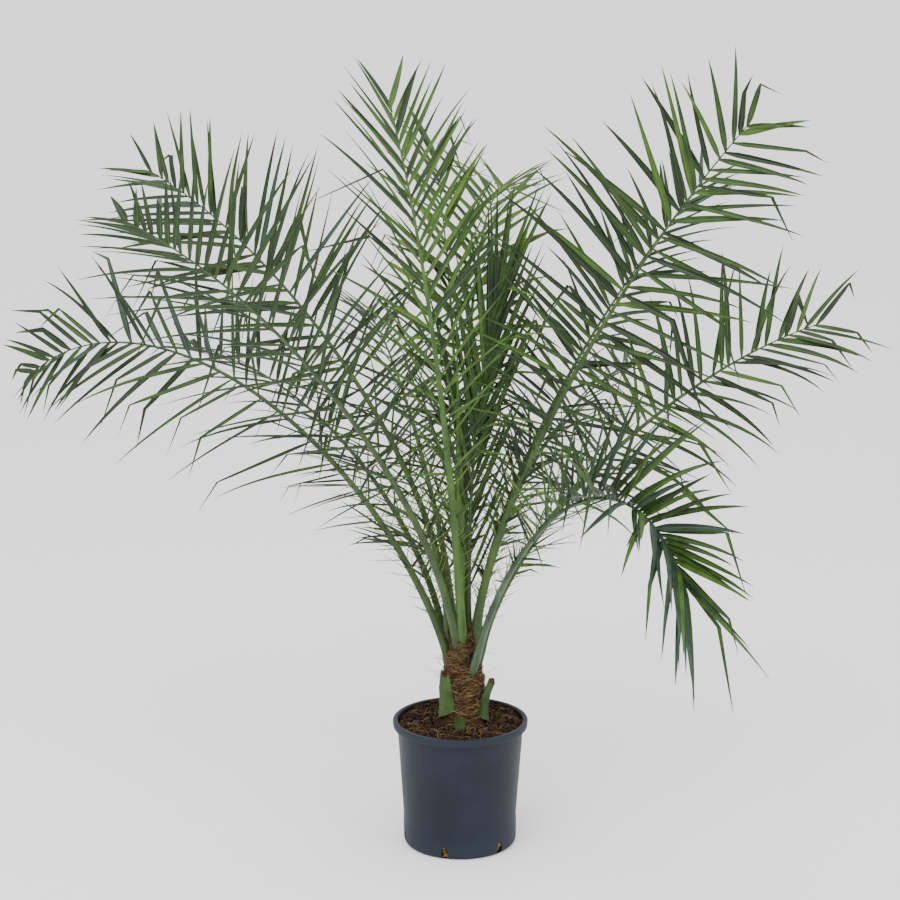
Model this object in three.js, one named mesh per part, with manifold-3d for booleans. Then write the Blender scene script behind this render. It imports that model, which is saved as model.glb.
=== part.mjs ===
// Young date palm in a round nursery pot, modelled in millimetres, +Z up.
// The origin is the centre of the pot's flat underside, and the pot stands on z = 0.
// The plant is a short fibrous stem with cut leaf bases, a crown of feather leaves
// and an unopened spear. Each frond is one solid: a tapering rib with leaflets on it.
import * as THREE from 'three';
import { mergeVertices } from 'three/addons/utils/BufferGeometryUtils.js';
import Module from 'manifold-3d';

const wasm = await Module();
wasm.setup();

// ---- driving dimensions --------------------------------------------------
const GAP = 0.3;                   // clearance between pieces that touch
const FINEST_EDGE = 0.05;          // shorter edges left by joining are closed up

const POT_HEIGHT = 228;
const POT_FOOT_RADIUS = 91;        // flat part of the underside
const POT_CORNER = 9;              // rounded edge round the foot
const POT_TOP_RADIUS = 112;        // wall just under the lip
const POT_WALL = 2;
const POT_FLOOR = 3;
const LIP_HEIGHT = 13;
const LIP_REACH = 8;
const LIP_ROUND = 3;               // rounding of the lip's edges
const POT_FACETS = 36;
const SLOT_COUNT = 6;
const SLOT_WIDTH = 12;
const SLOT_HEIGHT = 21;
const SLOT_TURN = 14;              // degrees from +X to the first slot
const SLOT_LIFT = 1;               // wall left under a slot and round its inner end

const SOIL_TOP = 220;
const SOIL_FALL = 6;               // drop from the stem to the wall
const SOIL_SHOULDER = 4;           // rounding of the soil's edge against the wall
const SOIL_RIPPLE = 3;
const SEAT_RADIUS = 52;            // level patch round the stem

const STEM_HEIGHT = 179;           // soil level to the stem's tip
const STEM_RADIUS = 38;
const STEM_FLARE = 7;
const STEM_FLARE_SHARE = 0.09;     // share of the height over which the flare dies away
const STEM_X = 5;                  // the stem stands a little right of the pot's middle
const STEM_LEAN = 2;               // sideways drift of the tip
const STEM_STRAIGHT = 0.4;         // share of the height before the stem narrows
const STEM_TAPER = 0.62;
const STEM_KNOBS = 1.8;            // relief left by old leaf bases
const KNOB_COLUMNS = 5;
const KNOB_TWIST = 2.4;            // radians that the knobs turn from ring to ring
const KNOB_FADE = 4;               // rings over which they die away at the tip
const STEM_POINT = 4;              // height of the tip's blunt cone
const STEM_SIDES = 20;
const STEM_RINGS = 12;

const RIB_SIDES = 4;
const RIB_STEPS = 18;
const RIB_DEPTH = 0.72;            // thickness over width
const RIB_TIP = 0.1;               // tip width over base width
const RIB_TAPER = 1.15;
const RIB_BASE_FLARE = 0.45;
const RIB_FLARE_SHARE = 0.03;      // share of the length over which the flare dies away
const RIB_FOOT_DROP = 34;          // how far below its first free point a stalk starts
const RIB_FOOT_DEPTH = 10;         // how deep in the stem it starts
const LEAFLET_SHARE = 0.9;         // leaflets modelled for each one on the real leaf
const LEAFLET_HALF_WIDTH = 7;
const LEAFLET_KEEL = 0.42;         // fold depth over half width
const LEAFLET_MIN_THICKNESS = 0.011;
const LEAFLET_WIDEST = 0.14;       // place of the widest section along a leaflet
const LEAFLET_PEAK = 0.4;           // place of the longest leaflet along a leaf
const LEAFLET_FALL = 2.2;
const LEAFLET_PLANES = [-12, 10, 28];
const OPEN_FOOT = 80;              // angle between the rib and the lowest leaflets
const OPEN_FALL = 30;              // how much it closes by the tip, evenly
const OPEN_TIP_FALL = 18;          // and over the last leaflets
const KINKED = 0.9;                // leaflets whose draw is over this are bent sharply
const KINK = 0.7;
const BENT = 0.12;                 // bend from which a leaflet gets a second section
const LEAFLET_NARROW = 0.8;        // width of that section over the widest one
const LEAFLET_CLEARANCE = 1.5;
const LIFT_TRIES = [0, 14, -14, 28];
const SPLIT_MARGIN = 0.008;        // bare rib above the place where a frond is split
const FITTED_SHARE = 0.12;         // share of a stalk that later stalks are fitted round

// One row for each frond. Angles are in degrees, lengths in millimetres:
// turn is the compass direction at the base and sweep its change along the rib;
// the rib starts at elevation rise, falls by lean early on and by droop towards the tip.
// roll tips the leaf's face sideways, lift folds the two rows of leaflets upwards,
// leaflet is the longest leaflet, and foot and tip are the shares of that length at the
// first and last ones. bare is the share of the rib below them, rows their number on each
// side, sag bends them down, and spread scales how far they open. cut splits a frond that
// arches right over in two.
const FRONDS = [
  { name: 'frond_far_left', turn: 172, sweep: -20, rise: 72, lean: 22, droop: 90, length: 1075,
    height: 352, offset: 31, width: 18, roll: -70, leaflet: 225, foot: 1.15, tip: 0.36,
    lift: 16, rows: 26, sag: 0.4, bare: 0.32, spread: 1.05, seed: 31, cut: 0.56 },
  { name: 'frond_upper_left', turn: 158, sweep: -8, rise: 92, lean: 37, droop: 32, length: 1054,
    height: 368, offset: 30, width: 15, roll: -55, leaflet: 245, foot: 0.75, tip: 0.6,
    lift: 26, rows: 26, sag: 0.1, bare: 0.31, spread: 1, seed: 12 },
  { name: 'frond_mid_left', turn: 230, sweep: 1, rise: 73, lean: 24, droop: 24, length: 1100,
    height: 392, offset: 24, width: 18, roll: 40, leaflet: 270, foot: 0.65, tip: 0.45,
    lift: 24, rows: 26, sag: 0.15, bare: 0.28, spread: 1, seed: 13 },
  { name: 'frond_tall_front', turn: 256, sweep: 3, rise: 80, lean: 14, droop: 24, length: 1074,
    height: 398, offset: 20, width: 17, roll: 8, leaflet: 205, foot: 0.7, tip: 0.5,
    lift: 34, rows: 28, sag: 0.08, bare: 0.28, spread: 0.75, seed: 14 },
  { name: 'frond_tall_back', turn: 102, sweep: 0, rise: 91, lean: 9, droop: 32, length: 880,
    height: 382, offset: 24, width: 13, roll: -8, leaflet: 195, foot: 0.7, tip: 0.55,
    lift: 32, rows: 24, sag: 0.12, bare: 0.31, spread: 0.8, seed: 15 },
  { name: 'frond_bowed_back', turn: 84, sweep: -8, rise: 92, lean: 0, droop: 114, length: 1000,
    height: 384, offset: 24, width: 13, roll: 6, leaflet: 180, foot: 0.75, tip: 0.45,
    lift: 30, rows: 24, sag: 0.25, bare: 0.31, spread: 1, seed: 16 },
  { name: 'frond_upper_right', turn: 344, sweep: 2, rise: 82, lean: 19, droop: 13, length: 1010,
    height: 392, offset: 21, width: 17, roll: 94, leaflet: 262, foot: 0.65, tip: 0.44,
    lift: 16, rows: 28, sag: 0.14, bare: 0.29, spread: 1.12, seed: 17 },
  { name: 'frond_right_back', turn: 36, sweep: -4, rise: 87, lean: 31, droop: 16, length: 945,
    height: 370, offset: 30, width: 14, roll: 35, leaflet: 180, foot: 0.7, tip: 0.5,
    lift: 30, rows: 22, sag: 0.2, bare: 0.31, spread: 1, seed: 18 },
  { name: 'frond_mid_right', turn: 14, sweep: 4, rise: 77, lean: 34, droop: 29, length: 875,
    height: 352, offset: 31, width: 17, roll: 54, leaflet: 200, foot: 0.8, tip: 0.65,
    lift: 22, rows: 22, sag: 0.35, bare: 0.34, spread: 1, seed: 19 },
  { name: 'frond_low_right', turn: 305, sweep: -14, rise: 70, lean: 23, droop: 95, length: 840,
    height: 350, offset: 37, width: 22, roll: 30, leaflet: 225, foot: 0.7, tip: 1,
    lift: 46, rows: 24, sag: 0.15, bare: 0.37, spread: 0.58, seed: 20, cut: 0.48 },
  { name: 'frond_short_back', turn: 62, sweep: 0, rise: 83, lean: 54, droop: 36, length: 900,
    height: 342, offset: 36, width: 15, roll: 0, leaflet: 165, foot: 0.8, tip: 0.5,
    lift: 30, rows: 14, sag: 0.3, bare: 0.31, spread: 1, seed: 21 },
  { name: 'frond_back_left', turn: 138, sweep: 4, rise: 84, lean: 42, droop: 46, length: 880,
    height: 330, offset: 39, width: 15, roll: -20, leaflet: 180, foot: 0.8, tip: 0.5,
    lift: 30, rows: 18, sag: 0.2, bare: 0.31, spread: 1, seed: 22 },
  { name: 'frond_back', turn: 112, sweep: -10, rise: 84, lean: 40, droop: 44, length: 880,
    height: 342, offset: 37, width: 15, roll: 0, leaflet: 180, foot: 0.8, tip: 0.5,
    lift: 30, rows: 18, sag: 0.2, bare: 0.31, spread: 1, seed: 23 },
  { name: 'frond_opening', turn: 20, sweep: 0, rise: 91, lean: 3, droop: 14, length: 600,
    height: 402, offset: 9, width: 10, roll: 80, leaflet: 290, foot: 1, tip: 0.6,
    lift: 8, rows: 9, sag: 0.02, bare: 0.08, spread: 0.26, seed: 24 },
];

const SPEAR = {
  turn: 200, rise: 89, length: 520, height: 403, offset: 5,
  radius: 4.1, belly: 3.3, bellyEnd: 0.8, point: 0.6,
};

// A stub is width across at its foot and narrows upwards by slant; its foot is lift over
// the soil, its top leans out from the stem by flareOut.
const STUBS = [
  { name: 'stub_left', turn: 221, width: 32, lift: 20, height: 80,
    thickness: 11, slant: 0.42, flareOut: 12 },
  { name: 'stub_right', turn: 332, width: 21, lift: 10, height: 76,
    thickness: 10, slant: 0.6, flareOut: 22 },
  { name: 'stub_front', turn: 262, width: 20, lift: 5, height: 21,
    thickness: 9, slant: 0.2, flareOut: 5 },
];
const STUB_STEPS = 5;
const STUB_SPAN = 2;               // points on each side of the middle of a section
const STUB_THIN = 0.45;            // thinning towards the edges, and again towards the top
const STUB_SINK = 4;               // how deep a stub is set before the stem is cut from it
const STUB_TEAR = 0.07;            // unevenness of the cut, as a share of the height

// ---- materials -----------------------------------------------------------
const finish = (color, roughness) => new THREE.MeshStandardMaterial({ color, roughness, metalness: 0 });
const POT_PLASTIC = finish('#3d444e', 0.6);
const POTTING_SOIL = finish('#3a281b', 0.95);
const FIBRE = finish('#7a5640', 0.9);
const CUT_BASE = finish('#4f6b36', 0.6);
const FROND_GREEN = finish('#456330', 0.5);
const SPEAR_GREEN = finish('#4c7030', 0.45);

// ---- small tools ---------------------------------------------------------
const radians = THREE.MathUtils.degToRad;
const clamp01 = (x) => Math.min(1, Math.max(0, x));

// Seeded random numbers between 0 and 1, the same on every run.
function randomFrom(seed) {
  const STEP = 1664525;
  const SHIFT = 1013904223;
  const RANGE = 4294967296;
  let state = (seed * 7919) % RANGE;
  return () => {
    state = (Math.imul(state, STEP) + SHIFT) >>> 0;
    return state / RANGE;
  };
}

// A closed skin over rings of points. A ring of one point is a pointed end,
// and a longer ring at an end is closed by a flat cap.
function loft(rings) {
  const points = rings.flat();
  const starts = [];
  rings.reduce((sum, ring) => { starts.push(sum); return sum + ring.length; }, 0);
  const faces = [];
  for (let r = 0; r + 1 < rings.length; r += 1) {
    joinRings(faces, starts[r], rings[r].length, starts[r + 1], rings[r + 1].length);
  }
  const last = rings.length - 1;
  for (let i = 1; i + 1 < rings[0].length; i += 1) {
    faces.push(starts[0], starts[0] + i + 1, starts[0] + i);
  }
  for (let i = 1; i + 1 < rings[last].length; i += 1) {
    faces.push(starts[last], starts[last] + i, starts[last] + i + 1);
  }
  const geometry = new THREE.BufferGeometry().setFromPoints(points);
  geometry.setIndex(faces);
  return geometry;
}

function joinRings(faces, low, lowCount, high, highCount) {
  const count = Math.max(lowCount, highCount);
  for (let i = 0; i < count; i += 1) {
    const next = (i + 1) % count;
    const a = low + (lowCount > 1 ? i : 0);
    const b = low + (lowCount > 1 ? next : 0);
    const c = high + (highCount > 1 ? next : 0);
    const d = high + (highCount > 1 ? i : 0);
    if (a !== b) faces.push(a, b, c);
    if (c !== d) faces.push(a, c, d);
  }
}

function sharedVertices(geometry) {
  const bare = geometry.clone();
  bare.deleteAttribute('normal');
  bare.deleteAttribute('uv');
  return mergeVertices(bare, 1e-4);
}

function toSolid(geometry) {
  const merged = sharedVertices(geometry);
  const index = Array.from(merged.index.array);
  const kept = [];
  for (let i = 0; i < index.length; i += 3) {
    const [a, b, c] = index.slice(i, i + 3);
    if (a !== b && b !== c && c !== a) kept.push(a, b, c);
  }
  return new wasm.Manifold(new wasm.Mesh({
    numProp: 3,
    vertProperties: new Float32Array(merged.attributes.position.array),
    triVerts: new Uint32Array(kept),
  }));
}

function fromSolid(solid) {
  const mesh = solid.getMesh();
  const geometry = new THREE.BufferGeometry();
  const positions = new Float32Array(mesh.numVert * 3);
  for (let i = 0; i < mesh.numVert; i += 1) {
    for (let axis = 0; axis < 3; axis += 1) {
      positions[i * 3 + axis] = mesh.vertProperties[i * mesh.numProp + axis];
    }
  }
  geometry.setAttribute('position', new THREE.BufferAttribute(positions, 3));
  geometry.setIndex(Array.from(mesh.triVerts));
  return geometry;
}

// Round shape about the Z axis from points of (radius, height).
function turned(profile, facets) {
  const points = profile.map(([radius, height]) => new THREE.Vector2(radius, height));
  return new THREE.LatheGeometry(points, facets).rotateX(Math.PI / 2);
}

// ---- pot -----------------------------------------------------------------
function potRadiusAt(height) {
  const foot = POT_FOOT_RADIUS + POT_CORNER;
  return foot + (POT_TOP_RADIUS - foot) * clamp01((height - POT_CORNER) / (POT_HEIGHT - POT_CORNER));
}

function potProfile() {
  const underLip = POT_HEIGHT - LIP_HEIGHT;
  const lip = POT_TOP_RADIUS + LIP_REACH;
  const inner = POT_TOP_RADIUS - POT_WALL;
  const floorRadius = potRadiusAt(POT_CORNER) - POT_WALL;
  const corner = [0.25, 0.5, 0.75].map((part) => {
    const angle = part * Math.PI / 2;
    return [POT_FOOT_RADIUS + POT_CORNER * Math.sin(angle), POT_CORNER * (1 - Math.cos(angle))];
  });
  return [
    [0, 0],
    [POT_FOOT_RADIUS, 0],
    ...corner,
    [potRadiusAt(POT_CORNER), POT_CORNER],
    [potRadiusAt(underLip), underLip],
    [lip - LIP_ROUND, underLip],
    [lip, underLip + LIP_ROUND],
    [lip, POT_HEIGHT - LIP_ROUND],
    [lip - LIP_ROUND, POT_HEIGHT],
    [inner + LIP_ROUND, POT_HEIGHT],
    [inner, POT_HEIGHT - LIP_ROUND],
    [floorRadius, POT_CORNER + POT_FLOOR],
    [floorRadius - POT_FLOOR * 2, POT_FLOOR],
    [0, POT_FLOOR],
  ];
}

function makePot() {
  let pot = toSolid(turned(potProfile(), POT_FACETS));
  const deep = POT_CORNER * 2;
  for (let i = 0; i < SLOT_COUNT; i += 1) {
    const angle = radians(SLOT_TURN) + i * 2 * Math.PI / SLOT_COUNT;
    const slot = new THREE.BoxGeometry(deep, SLOT_WIDTH, SLOT_HEIGHT);
    slot.translate(POT_FOOT_RADIUS + deep / 2 + SLOT_LIFT, 0, SLOT_HEIGHT / 2 + SLOT_LIFT);
    pot = pot.subtract(toSolid(slot.rotateZ(angle)));
  }
  return fromSolid(pot);
}

// ---- soil ----------------------------------------------------------------
// Compost that fills the pot, level under the stem and crumbly near the wall.
function makeSoil() {
  const floor = POT_FLOOR + GAP;
  const wallGap = POT_WALL + GAP * 4 / 3;
  const top = SOIL_TOP - SOIL_FALL;
  const edge = top - SOIL_SHOULDER;
  const foot = potRadiusAt(POT_CORNER) - wallGap - POT_CORNER;
  const wall = potRadiusAt(edge) - wallGap;
  const near = THREE.MathUtils.lerp(SEAT_RADIUS, wall, 0.3);
  const far = THREE.MathUtils.lerp(SEAT_RADIUS, wall, 0.7);
  const profile = [
    [0, floor],
    [foot, floor],
    [foot + POT_CORNER / 2, POT_CORNER * 1.6],
    [wall, edge],
    [wall - SOIL_SHOULDER, top],
    [far, SOIL_TOP - SOIL_FALL / 2],
    [near, SOIL_TOP - SOIL_FALL / 6],
    [SEAT_RADIUS, SOIL_TOP],
    [0, SOIL_TOP],
  ];
  const geometry = sharedVertices(turned(profile, POT_FACETS));
  const random = randomFrom(5);
  const place = geometry.attributes.position;
  for (let i = 0; i < place.count; i += 1) {
    const radius = Math.hypot(place.getX(i), place.getY(i));
    const free = place.getZ(i) > edge + 1 && radius > SEAT_RADIUS + 1;
    if (free) place.setZ(i, place.getZ(i) + (2 * random() - 0.8) * SOIL_RIPPLE);
  }
  return fromSolid(toSolid(geometry));
}

// ---- stem ----------------------------------------------------------------
// Radius of the stem over the soil: a flare at the foot, a straight run, then
// a cone that the innermost leaf bases stand round.
function stemRadius(height) {
  const up = clamp01((height - SOIL_TOP) / STEM_HEIGHT);
  const flare = STEM_FLARE * Math.exp(-up / STEM_FLARE_SHARE);
  const taper = up < STEM_STRAIGHT ? 1 : 1 - STEM_TAPER * (up - STEM_STRAIGHT) / (1 - STEM_STRAIGHT);
  return STEM_RADIUS * taper + flare;
}

function stemCentre(height) {
  const up = clamp01((height - SOIL_TOP) / STEM_HEIGHT);
  return new THREE.Vector3(STEM_X + STEM_LEAN * up * up, 0, height);
}

function stemGeometry(grow) {
  const rings = [];
  for (let r = 0; r <= STEM_RINGS; r += 1) {
    const height = SOIL_TOP + GAP + (STEM_HEIGHT - GAP) * r / STEM_RINGS;
    const centre = stemCentre(height);
    const ring = [];
    for (let i = 0; i < STEM_SIDES; i += 1) {
      const angle = 2 * Math.PI * i / STEM_SIDES;
      const wave = Math.sin(KNOB_COLUMNS * angle + KNOB_TWIST * r);
      const knob = STEM_KNOBS * wave * Math.min(1, (STEM_RINGS - r) / KNOB_FADE);
      const radius = stemRadius(height) + knob + grow;
      const outward = new THREE.Vector3(Math.cos(angle), Math.sin(angle), 0);
      ring.push(centre.clone().addScaledVector(outward, radius));
    }
    rings.push(ring);
  }
  rings[0].forEach((point) => { point.z -= grow; });
  rings.push([stemCentre(SOIL_TOP + STEM_HEIGHT + STEM_POINT + grow)]);
  return loft(rings);
}

// ---- cut leaf bases ------------------------------------------------------
// A stub is a plate that clasps the stem, cut across near its top.
function stubGeometry(stub) {
  const rings = [];
  for (let r = 0; r <= STUB_STEPS; r += 1) {
    const up = r / STUB_STEPS;
    const spread = (1 - stub.slant * up * up) * stub.width / 2 / STEM_RADIUS;
    const lean = stub.flareOut * up * up;
    const outer = [];
    const inner = [];
    for (let i = -STUB_SPAN; i <= STUB_SPAN; i += 1) {
      const across = i / STUB_SPAN;
      const tear = r === STUB_STEPS ? stub.height * STUB_TEAR * Math.sin(3 * i) : 0;
      const height = SOIL_TOP + stub.lift + stub.height * up + tear;
      const angle = radians(stub.turn) + across * spread;
      const outward = new THREE.Vector3(Math.cos(angle), Math.sin(angle), 0);
      const thick = stub.thickness * (1 - STUB_THIN * across * across) * (1 - STUB_THIN * up);
      const skin = stemRadius(height) + lean;
      outer.push(stemCentre(height).addScaledVector(outward, skin + thick));
      inner.unshift(stemCentre(height).addScaledVector(outward, skin - STUB_SINK));
    }
    rings.push([...outer, ...inner]);
  }
  return loft(rings);
}

// ---- fronds --------------------------------------------------------------
// The rib is followed in small steps; each step has a place, a direction along the
// rib, a side vector across the leaf and a face vector out of its upper side.
function followRib(frond) {
  const FALL_EARLY = 4;
  const FALL_LATE = 2.4;
  const steps = [];
  const start = radians(frond.turn);
  const place = stemCentre(frond.height);
  place.add(new THREE.Vector3(frond.offset * Math.cos(start), frond.offset * Math.sin(start), 0));
  for (let i = 0; i <= RIB_STEPS; i += 1) {
    const along = Math.max(0, i - 0.5) / RIB_STEPS;
    const lean = frond.lean * (1 - Math.pow(1 - along, FALL_EARLY));
    const droop = frond.droop * Math.pow(along, FALL_LATE);
    const elevation = radians(frond.rise - lean - droop);
    const heading = radians(frond.turn + frond.sweep * along);
    const ahead = new THREE.Vector3(
      Math.cos(elevation) * Math.cos(heading),
      Math.cos(elevation) * Math.sin(heading),
      Math.sin(elevation),
    );
    const level = new THREE.Vector3(-Math.sin(heading), Math.cos(heading), 0);
    const upper = ahead.clone().cross(level);
    const roll = radians(frond.roll);
    const side = level.clone().multiplyScalar(Math.cos(roll)).addScaledVector(upper, Math.sin(roll));
    const face = upper.clone().multiplyScalar(Math.cos(roll)).addScaledVector(level, -Math.sin(roll));
    if (i > 0) place.addScaledVector(ahead, frond.length / RIB_STEPS);
    steps.push({ along: i / RIB_STEPS, place: place.clone(), ahead, side, face });
  }
  return steps;
}

function ribHalfWidth(frond, along) {
  const taper = RIB_TIP + (1 - RIB_TIP) * Math.pow(1 - along, RIB_TAPER);
  return frond.width / 2 * (taper + RIB_BASE_FLARE * Math.exp(-along / RIB_FLARE_SHARE));
}

function atStep(steps, along) {
  const exact = Math.min(along, 1) * (steps.length - 1);
  const index = Math.min(Math.floor(exact), steps.length - 2);
  const low = steps[index];
  return { ...low, along, place: low.place.clone().lerp(steps[index + 1].place, exact - index) };
}

// The stalk's section is flat above and keeled below.
function ribSection(frond, step, grow) {
  const half = ribHalfWidth(frond, step.along) + grow;
  const ring = [];
  for (let i = 0; i < RIB_SIDES; i += 1) {
    const angle = 2 * Math.PI * i / RIB_SIDES;
    const across = half * Math.cos(angle);
    const out = half * RIB_DEPTH * Math.sin(angle);
    ring.push(step.place.clone().addScaledVector(step.side, across).addScaledVector(step.face, out));
  }
  return ring;
}

// The foot of a stalk starts inside the stem, and is trimmed there to the stem's skin.
function ribFoot(frond, first) {
  const heading = radians(frond.turn);
  const height = frond.height - RIB_FOOT_DROP;
  const inside = Math.max(1, stemRadius(height) - RIB_FOOT_DEPTH);
  const outward = new THREE.Vector3(Math.cos(heading), Math.sin(heading), 0);
  return { ...first, place: stemCentre(height).addScaledVector(outward, inside) };
}

function ribGeometry(frond, steps, from, to, grow = 0) {
  const between = steps.filter((step) => step.along > from + 1e-6 && step.along < to - 1e-6);
  const used = [atStep(steps, from), ...between, atStep(steps, to)];
  if (from === 0) used.unshift(ribFoot(frond, used[0]));
  return loft(used.map((step) => ribSection(frond, step, grow)));
}

// ---- leaflets ------------------------------------------------------------
// Length of a leaflet by its place on the leaf: short near the stalk, longest
// a little below the middle, and short again at the tip.
function leafletLength(frond, up) {
  const { lerp } = THREE.MathUtils;
  if (up < LEAFLET_PEAK) {
    return frond.leaflet * lerp(frond.foot, 1, Math.sin(Math.PI / 2 * up / LEAFLET_PEAK));
  }
  const past = (up - LEAFLET_PEAK) / (1 - LEAFLET_PEAK);
  return frond.leaflet * lerp(1, frond.tip, Math.pow(past, LEAFLET_FALL));
}

// Leaflets stand in three planes low on the leaf and in one plane near its tip.
function leafletPlan(frond, rows) {
  const random = randomFrom(frond.seed);
  const vary = (middle, range) => middle + (random() - 0.5) * range;
  const plan = [];
  for (let row = 0; row < rows; row += 1) {
    for (const hand of [1, -1]) {
      const up = vary(row + 0.5, 0.35) / rows;
      const plane = LEAFLET_PLANES[(row + (hand > 0 ? 0 : 1)) % LEAFLET_PLANES.length];
      const opening = OPEN_FOOT - OPEN_FALL * up - OPEN_TIP_FALL * Math.pow(up, 6);
      plan.push({
        hand,
        along: frond.bare + (1 - frond.bare) * Math.pow(up, 0.93),
        length: leafletLength(frond, up) * vary(1, 0.2),
        open: frond.spread * vary(opening, 16),
        lift: vary(frond.lift + plane * (1 - up), 10),
        sag: frond.sag * vary(1, 0.8) * (1.5 - 0.7 * up),
        kink: random(),
      });
    }
  }
  return plan;
}

// Root, middle and tip of a leaflet, with its own direction, width and face vectors.
function placeLeaflet(steps, leaflet, extraLift) {
  const step = atStep(steps, leaflet.along);
  const open = radians(leaflet.open);
  const lift = radians(leaflet.lift + extraLift);
  const outward = step.side.clone().multiplyScalar(leaflet.hand * Math.cos(lift));
  outward.addScaledVector(step.face, Math.sin(lift));
  const ahead = step.ahead.clone().multiplyScalar(Math.cos(open));
  ahead.addScaledVector(outward, Math.sin(open));
  const wide = step.ahead.clone().addScaledVector(ahead, -step.ahead.dot(ahead)).normalize();
  const face = ahead.clone().cross(wide).multiplyScalar(-leaflet.hand);
  const bend = leaflet.kink > KINKED ? leaflet.sag + KINK : leaflet.sag;
  const middle = step.place.clone().addScaledVector(ahead, leaflet.length / 2);
  const onward = ahead.clone().add(new THREE.Vector3(0, 0, -bend)).normalize();
  const tip = middle.clone().addScaledVector(onward, leaflet.length / 2);
  return { root: step.place, middle, tip, wide, face, length: leaflet.length, bent: bend > BENT };
}

function leafletSection(leaf, part, widthShare) {
  const half = LEAFLET_HALF_WIDTH * widthShare;
  const keel = Math.max(half * LEAFLET_KEEL, leaf.length * LEAFLET_MIN_THICKNESS * widthShare);
  const centre = leaf.root.clone().lerp(leaf.middle, part * 2);
  return [
    centre.clone().addScaledVector(leaf.wide, half).addScaledVector(leaf.face, keel / 2),
    centre.clone().addScaledVector(leaf.wide, -half).addScaledVector(leaf.face, keel / 2),
    centre.clone().addScaledVector(leaf.face, -keel / 2),
  ];
}

function leafletSolid(leaf) {
  const rings = [[leaf.root], leafletSection(leaf, LEAFLET_WIDEST, 1)];
  if (leaf.bent) rings.push(leafletSection(leaf, 0.5, LEAFLET_NARROW));
  rings.push([leaf.tip]);
  const solid = toSolid(loft(rings));
  return solid.volume() > 0 ? solid : toSolid(loft(rings.map((ring) => [...ring].reverse())));
}

// ---- keeping fronds clear of each other ----------------------------------
// Every stalk and leaflet is a list of bars with a radius; two bars of different
// nodes have to stay LEAFLET_CLEARANCE apart.
function barDistance(first, second) {
  const d1 = first.to.clone().sub(first.from);
  const d2 = second.to.clone().sub(second.from);
  const offset = first.from.clone().sub(second.from);
  const a = d1.dot(d1);
  const e = d2.dot(d2);
  const f = d2.dot(offset);
  const c = d1.dot(offset);
  const b = d1.dot(d2);
  const spread = a * e - b * b;
  let s = spread > 1e-9 ? clamp01((b * f - c * e) / spread) : 0;
  let t = (b * s + f) / e;
  if (t < 0) {
    t = 0;
    s = clamp01(-c / a);
  } else if (t > 1) {
    t = 1;
    s = clamp01((b - c) / a);
  }
  const gap = offset.addScaledVector(d1, s).addScaledVector(d2, -t).length();
  const { lerp } = THREE.MathUtils;
  return gap - lerp(first.start, first.end, s) - lerp(second.start, second.end, t);
}

function leafletBars(leaf) {
  const wide = LEAFLET_HALF_WIDTH;
  const narrow = wide * LEAFLET_NARROW;
  return [
    { from: leaf.root, to: leaf.middle, start: wide, end: narrow },
    { from: leaf.middle, to: leaf.tip, start: narrow, end: 0 },
  ];
}

function ribBars(frond, steps, node) {
  return steps.slice(1).map((step, i) => ({
    node,
    from: steps[i].place,
    to: step.place,
    start: ribHalfWidth(frond, steps[i].along),
    end: ribHalfWidth(frond, step.along),
  }));
}

function isClear(bars, node, taken) {
  const REACH = 500;
  return bars.every((bar) => taken.every((other) => other.node === node
    || other.from.distanceTo(bar.from) > REACH
    || barDistance(bar, other) > LEAFLET_CLEARANCE));
}

// ---- a frond as one or two solids ----------------------------------------
function frondNodes(frond) {
  if (!frond.cut) return [{ node: frond.name, from: 0, to: 1 }];
  const half = GAP / 2 / frond.length;
  return [
    { node: frond.name, from: 0, to: frond.cut - half },
    { node: `${frond.name}_tip`, from: frond.cut + half, to: 1 },
  ];
}

function growFrond(frond, taken, carved) {
  const steps = frond.steps;
  const solids = frondNodes(frond).map((span) => ({
    ...span,
    solid: toSolid(ribGeometry(frond, steps, span.from, span.to)),
  }));
  for (const leaflet of leafletPlan(frond, Math.round(frond.rows * LEAFLET_SHARE))) {
    const { along } = leaflet;
    const home = solids.find((span) => along > span.from + SPLIT_MARGIN && along < span.to);
    if (!home) continue;
    for (const extra of LIFT_TRIES) {
      const leaf = placeLeaflet(steps, leaflet, extra);
      const bars = leafletBars(leaf);
      if (!isClear(bars, frond.name, taken)) continue;
      home.solid = home.solid.add(leafletSolid(leaf));
      bars.forEach((bar) => taken.push({ ...bar, node: frond.name }));
      break;
    }
  }
  solids[0].solid = solids[0].solid.subtract(carved);
  return solids.map(({ node, solid }) => ({ node, solid: solid.simplify(FINEST_EDGE) }));
}

// The space that a stalk's foot takes from the stalks fitted after it.
function footSpace(frond) {
  return toSolid(ribGeometry(frond, frond.steps, 0, FITTED_SHARE, 2 * GAP));
}

// ---- spear ---------------------------------------------------------------
// The unopened leaf in the middle of the crown: a slim spindle.
function spearSteps() {
  return followRib({ ...SPEAR, sweep: 0, lean: 0, droop: 0, roll: 0 });
}

function spearRadius(along) {
  const belly = SPEAR.belly * Math.sin(Math.PI * Math.min(1, along / SPEAR.bellyEnd));
  return (SPEAR.radius + belly) * (1 - Math.pow(along, 3)) + SPEAR.point;
}

function spearGeometry(steps) {
  const SIDES = 7;
  const RINGS = 7;
  const rings = [];
  for (let r = 0; r < RINGS; r += 1) {
    const step = atStep(steps, r / RINGS);
    const ring = [];
    for (let i = 0; i < SIDES; i += 1) {
      const angle = 2 * Math.PI * i / SIDES;
      const radius = spearRadius(step.along);
      ring.push(step.place.clone().addScaledVector(step.side, radius * Math.cos(angle))
        .addScaledVector(step.face, radius * Math.sin(angle)));
    }
    rings.push(ring);
  }
  rings.push([steps[RIB_STEPS].place]);
  return loft(rings);
}

// ---- the plant -----------------------------------------------------------
const plant = new THREE.Group();

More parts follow.
